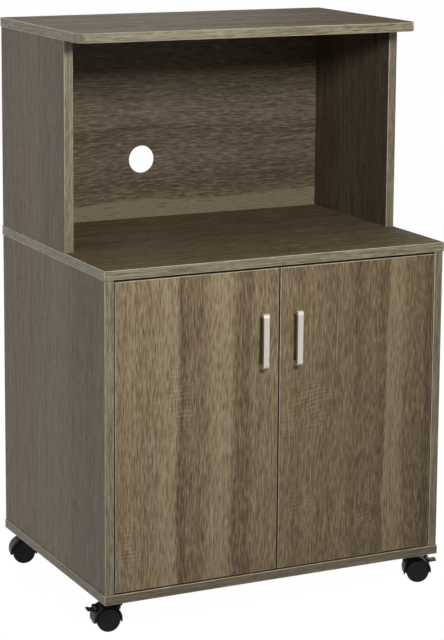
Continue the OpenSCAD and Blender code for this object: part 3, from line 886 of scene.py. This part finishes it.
@dataclass
class Board:
    """A laminated board: the solid's own shape with eased arrises, and a finish for each side."""

    node: str
    thin: Flat
    face: Laminate
    body: str = "cabinet"
    slot: str = "oak_laminate"
    bands: tuple[EdgeBand, ...] = PALE_BANDS
    rear: Finish | None = None
    arris: float = 0.9 * MM
    round_walls: bool = False
    weld: float = 0.01 * MM
    flat_angle: float = math.radians(0.5)
    sharp_angle: float = math.radians(45)
    square_on: float = 0.99
    slant: float = 0.1
    margin: float = 1.2

    def build(self) -> None:
        """Makes the board in place of its solid."""
        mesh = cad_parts[self.node].data.copy()
        mesh.name = self.node + "_board"
        shape = bmesh.new()
        shape.from_mesh(mesh)
        bmesh.ops.remove_doubles(shape, verts=shape.verts, dist=self.weld)
        bmesh.ops.dissolve_limit(shape, angle_limit=self.flat_angle, verts=shape.verts,
                                 edges=shape.edges, delimit=set())
        low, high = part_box(self.node)
        outer = {f for f in shape.faces if self.is_outer(f, low, high)}
        edges = [e for e in shape.edges if len(e.link_faces) == 2
                 and all(f in outer for f in e.link_faces)
                 and e.calc_face_angle() > self.sharp_angle]
        bmesh.ops.bevel(shape, geom=edges, offset=self.arris, offset_type="OFFSET", segments=2,
                        profile=0.5, affect="EDGES", material=-1)
        self.assign(shape, low, high)
        mesh.materials.clear()
        for finish in (self.face, *self.bands, ARRIS, RAW, self.rear or self.face):
            mesh.materials.append(finish.material())
        shape.to_mesh(mesh)
        shape.free()
        self.place(mesh)

    def is_outer(self, face: bmesh.types.BMFace, low: Vector, high: Vector) -> bool:
        """Says whether a face is one of the board's outer sides, and not a bore or a groove.

        Args:
            face: The face.
            low: The board's lowest corner.
            high: Its highest corner.

        Returns:
            True if the face lies on the box, or is a wall through the whole thickness.
        """
        near = 0.02 * MM
        for axis in range(3):
            for plane in (low[axis], high[axis]):
                if all(abs(v.co[axis] - plane) < near for v in face.verts):
                    return True
        t = self.thin.value
        heights = [v.co[t] for v in face.verts]
        margin = self.margin * self.arris
        through = min(heights) < low[t] + margin and max(heights) > high[t] - margin
        return self.round_walls and through

    def assign(self, shape: bmesh.types.BMesh, low: Vector, high: Vector) -> None:
        """Gives each face its material by where it looks and lies.

        Args:
            shape: The board's mesh.
            low: The board's lowest corner.
            high: Its highest corner.
        """
        t = self.thin.value
        for face in shape.faces:
            normal = [abs(n) for n in face.normal]
            on_box = self.is_outer(face, low, high)
            face.smooth = False
            if on_box and normal[t] > self.square_on:
                to_rear = face.normal[t] > 0 and self.rear
                face.material_index = Side.REAR if to_rear else Side.FACE
            elif on_box and max(normal) > self.square_on:
                # The axis that is left over is the one that this strip runs along.
                run = 3 - t - normal.index(max(normal))
                face.material_index = Side.BAND + run
            elif on_box or self.is_arris(face, low, high):
                face.material_index = Side.BAND if on_box else Side.ARRIS
                face.smooth = True
            else:
                face.material_index = Side.RAW

    def is_arris(self, face: bmesh.types.BMFace, low: Vector, high: Vector) -> bool:
        """Says whether a face is one of the eased corners.

        Args:
            face: The face.
            low: The board's lowest corner.
            high: Its highest corner.

        Returns:
            True if the face is near the outside on two axes, or small and slanted.
        """
        slanted = sum(abs(n) > self.slant for n in face.normal) >= 2
        centre = face.calc_center_median()
        reach = self.margin * self.arris
        near = sum(min(centre[i] - low[i], high[i] - centre[i]) < reach for i in range(3))
        t = self.thin.value
        on_face = min(centre[t] - low[t], high[t] - centre[t]) < reach
        return slanted and (near >= 2 or (self.round_walls and on_face))

    def place(self, mesh: bpy.types.Mesh) -> None:
        """Links the mesh as a piece, hides its solid and hangs it on its body.

        Args:
            mesh: The finished mesh.
        """
        piece = linked(self.node + "_board", mesh)
        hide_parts(self.node)
        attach(piece, self.body)
        LOG.info("%s: %d faces", piece.name, len(mesh.polygons))


@dataclass
class Back(Board):
    """A thin hardboard back, printed on its front only."""

    slot: str = "hardboard"
    rear: Finish | None = BARE_REAR
    arris: float = 0.2 * MM


# ------------------------------------------------------------------ sub-assemblies


@dataclass
class Hutch:
    """The open box on the counter."""

    top: Laminate = field(default_factory=lambda: Laminate(
        "oak_hutch_top", Grain.LEVEL_FLAT, (0.0, 0.0, 0.4), shade="#524635", middle="#726450",
        light="#91846e", broad=1.2, streak=1.0, fibre=0.9, gloss=0.01, roughness=0.66))
    side: Laminate = field(default_factory=lambda: Laminate(
        "oak_hutch_side", Grain.UPRIGHT_SIDE, (0.3, 0.2, 0.0), shade="#544938", middle="#6e6251",
        light="#897d69", broad=0.5, rings=0.4, streak=1.0, fibre=0.5, waver=0.001,
        span=(0.06, 0.354),
        bands=((0.00, 0.42), (0.25, 0.43), (0.33, 0.47), (0.40, 0.62), (0.60, 0.66),
               (0.63, 0.48), (0.85, 0.45), (1.00, 0.36))))
    back: Laminate = field(default_factory=lambda: Laminate(
        "oak_hutch_back", Grain.LEVEL, (0.0, 0.4, 0.1), tilt=0.015, shade="#443928",
        middle="#685c49", light="#8f8169", drift=0.05, waver=0.007, rings=0.15, broad=0.4,
        depth=1.5, streak=0.7, fibre=1.0, span=(0.617, 0.974), roughness=0.58,
        bands=((0.00, 1.00), (0.066, 1.00), (0.084, 0.50), (0.22, 0.48), (0.30, 0.57),
               (0.41, 0.44), (0.50, 0.55), (0.62, 0.47), (0.72, 0.56), (0.88, 0.50))))

    def build(self) -> None:
        """Makes the hutch's four boards and dresses its fixings."""
        Board("hutch_top", Flat.Z, self.top, round_walls=True).build()
        for side, bands in SIDE_BANDS:
            Board("hutch_side_" + side, Flat.X, self.side, bands=bands).build()
        Back("hutch_back", Flat.Y, self.back).build()
        dress_nodes(("cam_caps",), CAP_PLASTIC)
        dress_nodes(("hutch_screws",), ZINC)


@dataclass
class Cabinet:
    """The box under the counter, with its shelf and hidden fixings."""

    level: Laminate = field(default_factory=lambda: Laminate(
        "oak_counter", Grain.LEVEL_FLAT, (0.1, 0.0, 0.7), shade="#4c412f", middle="#6b5e49",
        light="#867858", broad=0.6, rings=0.4, streak=1.1, fibre=0.8, gloss=0.02,
        roughness=0.62))
    side: Laminate = field(default_factory=lambda: Laminate(
        "oak_cabinet_side", Grain.UPRIGHT_SIDE, (0.0, 0.5, 0.0), shade="#584d3b", middle="#726653",
        light="#8d806b", broad=0.6, rings=0.4, streak=1.1, fibre=0.5, waver=0.001,
        span=(-0.24, 0.223), bands=((0.00, 0.42), (0.20, 0.46), (0.35, 0.56), (0.50, 0.62),
                                    (0.62, 0.64), (0.66, 0.54), (0.72, 0.40), (1.00, 0.36))))
    back: Laminate = field(default_factory=lambda: Laminate(
        "oak_cabinet_back", Grain.LEVEL, (0.2, 0.1, 0.4), shade="#564a38", middle="#766a55",
        light="#978a70", roughness=0.58))

    def build(self) -> None:
        """Makes the cabinet's boards and dresses its fixings."""
        # The bottom panel's front edge takes the darker edge bands: painted shade.
        for node, bands in (("counter", PALE_BANDS), ("bottom_panel", SHADED_BANDS),
                            ("shelf", PALE_BANDS)):
            Board(node, Flat.Z, self.level, bands=bands).build()
        for side, bands in SIDE_BANDS:
            Board("cabinet_side_" + side, Flat.X, self.side, bands=bands).build()
        Back("cabinet_back", Flat.Y, self.back).build()
        dress_nodes(("cam_locks", "cam_bolts", "shelf_pins"), ZINC)
        dress_nodes(("dowels",), BareBeech())


@dataclass(frozen=True)
class DoorPrint:
    """What is printed on one door, with some painted shade in the right door's darker tones:
    places across are shares of its width from its left edge.
    """

    bands: tuple[tuple[float, float], ...]
    hearts: tuple[tuple[float, float, float], ...]
    saws: tuple[tuple[float, float, float, float, float], ...]
    shade: str
    middle: str
    light: str


LEFT_PRINT = DoorPrint(
    bands=((0.00, 0.56), (0.05, 0.52), (0.08, 0.58), (0.20, 0.52), (0.31, 0.60), (0.365, 0.60),
           (0.39, 0.30), (0.45, 0.44), (0.52, 0.42), (0.58, 0.60), (0.68, 0.60), (0.72, 0.38),
           (0.80, 0.34), (0.84, 0.50), (1.00, 0.46)),
    hearts=((0.43, 0.030, 0.15), (0.78, 0.400, 0.19)),
    saws=((0.38, 0.310, 0.034, 0.062, 0.02), (0.09, 0.062, 0.026, 0.046, 0.02)),
    shade="#614f3c", middle="#8c795d", light="#af9f7f",
)
# The right door's tones are darker than the left door's: partly its own print, partly painted
# shade towards the cart's right.
RIGHT_PRINT = DoorPrint(
    bands=((0.00, 0.54), (0.05, 0.60), (0.12, 0.48), (0.20, 0.57), (0.30, 0.49), (0.42, 0.54),
           (0.50, 0.42), (0.60, 0.50), (0.69, 0.40), (0.705, 0.68), (0.79, 0.62), (0.83, 0.50),
           (0.93, 0.46), (0.97, 0.32), (1.00, 0.30)),
    hearts=((0.62, -0.080, 0.12), (0.30, 0.380, 0.16)),
    saws=((0.19, 0.275, 0.046, 0.066, 0.08), (0.59, 0.068, 0.030, 0.038, 0.35),
          (0.16, 0.105, 0.028, 0.032, 0.02)),
    shade="#534332", middle="#77654c", light="#9a886a",
)


@dataclass
class Doors:
    """Two inset doors on concealed hinges, each with a pull."""

    prints: tuple[tuple[str, DoorPrint], ...] = (("left", LEFT_PRINT), ("right", RIGHT_PRINT))

    def build(self) -> None:
        """Makes both doors and dresses their pulls and hinges."""
        for side, pattern in self.prints:
            Board("door_" + side, Flat.Y, self.laminate(side, pattern), body=side + "_door",
                  slot="door_laminate").build()
            dress_nodes(("pull_" + side,), NICKEL)
            dress_nodes((f"pull_screws_{side}", f"hinge_pins_{side}", f"hinge_cup_screws_{side}",
                         f"hinge_cup_{side}_upper", f"hinge_cup_{side}_lower",
                         f"hinge_arm_{side}_upper", f"hinge_arm_{side}_lower"), ZINC)
        dress_nodes(("hinge_plates", "hinge_plate_screws"), ZINC)

    def laminate(self, side: str, pattern: DoorPrint) -> Laminate:
        """Lays one door's print out on that door.

        Args:
            side: Which door.
            pattern: Its print.

        Returns:
            The door's finish.
        """
        low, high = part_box("door_" + side)
        width = high.x - low.x
        hearts = tuple(Heart(low.x + u * width, low.z + crown, taper)
                       for u, crown, taper in pattern.hearts)
        saws = tuple(SawPatch(low.x + u * width, low.z + up, wide, tall, tilt)
                     for u, up, wide, tall, tilt in pattern.saws)
        return Laminate("oak_door_" + side, Grain.UPRIGHT, (0.0, 0.0, 0.0), pattern.shade,
                        pattern.middle, pattern.light, bands=pattern.bands,
                        span=(low.x, high.x), hearts=hearts, saw_patches=saws, depth=2.1,
                        broad=0.4, rings=0.2, streak=0.5, fibre=1.1, waver=0.002)


@dataclass
class Casters:
    """Four hooded twin-wheel casters, the front two with a brake tab."""

    corners: tuple[str, ...] = ("front_left", "front_right", "rear_left", "rear_right")

    def build(self) -> None:
        """Dresses every caster."""
        for corner in self.corners:
            dress_nodes(("caster_plate_" + corner, "caster_axle_" + corner), ZINC)
            dress_nodes(("caster_hood_" + corner,), HOOD_NYLON)
            dress_nodes(("caster_wheel_a_" + corner, "caster_wheel_b_" + corner), WHEEL_NYLON)
        dress_nodes(("caster_kingpins", "caster_screws"), ZINC)
        dress_nodes(("brake_lever_left", "brake_lever_right"), HOOD_NYLON)


def dress_nodes(names: tuple[str, ...], finish: Finish) -> None:
    """Gives solids that keep their own shape a finish.

    Args:
        names: The solids' names.
        finish: Their finish.
    """
    for name in names:
        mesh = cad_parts[name].data
        mesh.materials.clear()
        mesh.materials.append(finish.material())
        LOG.info("%s: %s", name, finish.name)


# ------------------------------------------------------------------ studio


@dataclass(frozen=True)
class Lamp:
    """One square soft lamp: where it hangs, what it faces, its side and its power in watts."""

    name: str
    place: tuple[float, float, float]
    aim: tuple[float, float, float]
    size: float
    power: float


LAMPS = (
    Lamp("key", (-0.06, -1.52, 1.46), (0.0, 0.0, 0.60), 0.28, 18.5),
    Lamp("left_fill", (-2.60, 0.65, 1.30), (0.0, 0.1, 0.55), 1.00, 16.0),
    Lamp("right_fill", (2.60, 0.65, 1.30), (0.0, 0.1, 0.55), 1.00, 16.0),
    Lamp("rear_fill", (0.80, 2.60, 1.50), (0.0, 0.1, 0.55), 1.20, 20.0),
    Lamp("rear_overhead", (0.20, 1.20, 2.60), (0.0, 0.1, 0.99), 0.90, 4.8),
)


@dataclass
class Studio:
    """The camera, the lamps, the floor and the white surround."""

    azimuth: float = math.radians(-26.38)
    elevation: float = math.radians(9.60)
    roll: float = math.radians(0.43)
    distance: float = 3.8116
    target: Vector = field(default_factory=lambda: Vector((0.0, -0.0250, 0.6678)))
    focal_px: float = 2183.8
    photo_size: tuple[int, int] = (444, 640)
    principal: tuple[float, float] = (228.0, 208.0)
    sensor: float = 36.0
    ambient: float = 0.02
    floor_half: float = 12.0
    floor_grey: Colour = (0.60, 0.60, 0.60, 1.0)
    floor_glow: float = 1.07
    glow_share: float = 0.93
    clip: tuple[float, float] = (0.1, 60.0)

    def build(self) -> None:
        """Sets the whole studio up."""
        self.camera()
        self.floor()
        self.world()
        for lamp in LAMPS:
            self.hang(lamp)
        bpy.context.scene.view_settings.view_transform = "Standard"

    def camera(self) -> None:
        """Places the camera at the photograph's angle, with the photograph's framing."""
        data = bpy.data.cameras.new("camera")
        camera = linked("camera", data)
        flat = math.cos(self.elevation)
        back = Vector((math.sin(self.azimuth) * flat, -math.cos(self.azimuth) * flat,
                       math.sin(self.elevation)))
        camera.location = self.target + back * self.distance
        camera.rotation_euler = (-back).to_track_quat("-Z", "Y").to_euler()
        camera.rotation_euler.rotate_axis("Z", self.roll)
        wide, tall = self.photo_size
        data.sensor_width = self.sensor
        data.lens = self.focal_px * self.sensor / max(wide, tall)
        data.shift_x = (wide / 2 - self.principal[0]) / max(wide, tall)
        data.shift_y = (self.principal[1] - tall / 2) / max(wide, tall)
        data.clip_start, data.clip_end = self.clip
        bpy.context.scene.camera = camera

    def floor(self) -> None:
        """Lays the pale floor, which looks white and keeps a soft shadow."""
        bm = bmesh.new()
        bmesh.ops.create_grid(bm, x_segments=1, y_segments=1, size=self.floor_half)
        mesh = bpy.data.meshes.new("floor")
        bm.to_mesh(mesh)
        bm.free()
        floor = linked("floor", mesh)
        material = bpy.data.materials.new("pale_floor")
        kit = ShaderTree.of(material)
        plain = kit.add("ShaderNodeBsdfDiffuse", {"Color": self.floor_grey})
        white = kit.add("ShaderNodeEmission", {"Color": WHITE, "Strength": self.floor_glow})
        seen = kit.times(self.seen_rays(kit), self.glow_share)
        mixed = kit.add("ShaderNodeMixShader", {0: seen, 1: plain.outputs[0], 2: white.outputs[0]})
        end = kit.add("ShaderNodeOutputMaterial")
        kit.feed(end.inputs["Surface"], mixed.outputs[0])
        mesh.materials.append(material)

    def seen_rays(self, kit: ShaderTree) -> Socket:
        """Tells which rays show the background: the camera's, and mirrored or transmitted ones.

        Args:
            kit: The tree that uses it.

        Returns:
            One for such rays, and zero for the light on the object.
        """
        rays = kit.add("ShaderNodeLightPath").outputs
        mirrored = kit.math("MAXIMUM", rays["Is Glossy Ray"], rays["Is Transmission Ray"])
        return kit.math("MAXIMUM", rays["Is Camera Ray"], mirrored)

    def world(self) -> None:
        """Makes the surround: white where it is seen, and a low even light on the object."""
        world = bpy.data.worlds.new("surround")
        bpy.context.scene.world = world
        kit = ShaderTree.of(world)
        low = kit.add("ShaderNodeBackground", {"Color": WHITE, "Strength": self.ambient})
        white = kit.add("ShaderNodeBackground", {"Color": WHITE, "Strength": 1.0})
        mixed = kit.add("ShaderNodeMixShader", {0: self.seen_rays(kit), 1: low.outputs[0],
                                                2: white.outputs[0]})
        end = kit.add("ShaderNodeOutputWorld")
        kit.feed(end.inputs["Surface"], mixed.outputs[0])

    def hang(self, lamp: Lamp) -> None:
        """Hangs one lamp.

        Args:
            lamp: The lamp.
        """
        data = bpy.data.lights.new(lamp.name, "AREA")
        data.shape = "SQUARE"
        data.size = lamp.size
        data.energy = lamp.power
        hung = linked(lamp.name, data)
        hung.location = lamp.place
        aim = Vector(lamp.aim) - Vector(lamp.place)
        hung.rotation_euler = aim.to_track_quat("-Z", "Y").to_euler()


def main() -> None:
    """Builds the cart's sub-assemblies in order, then the studio."""
    logging.basicConfig(level=logging.INFO, format="%(name)s: %(message)s")
    for part in (Hutch(), Cabinet(), Doors(), Casters(), Studio()):
        LOG.info("building %s", type(part).__name__)
        part.build()


if __name__ == "__main__":
    main()
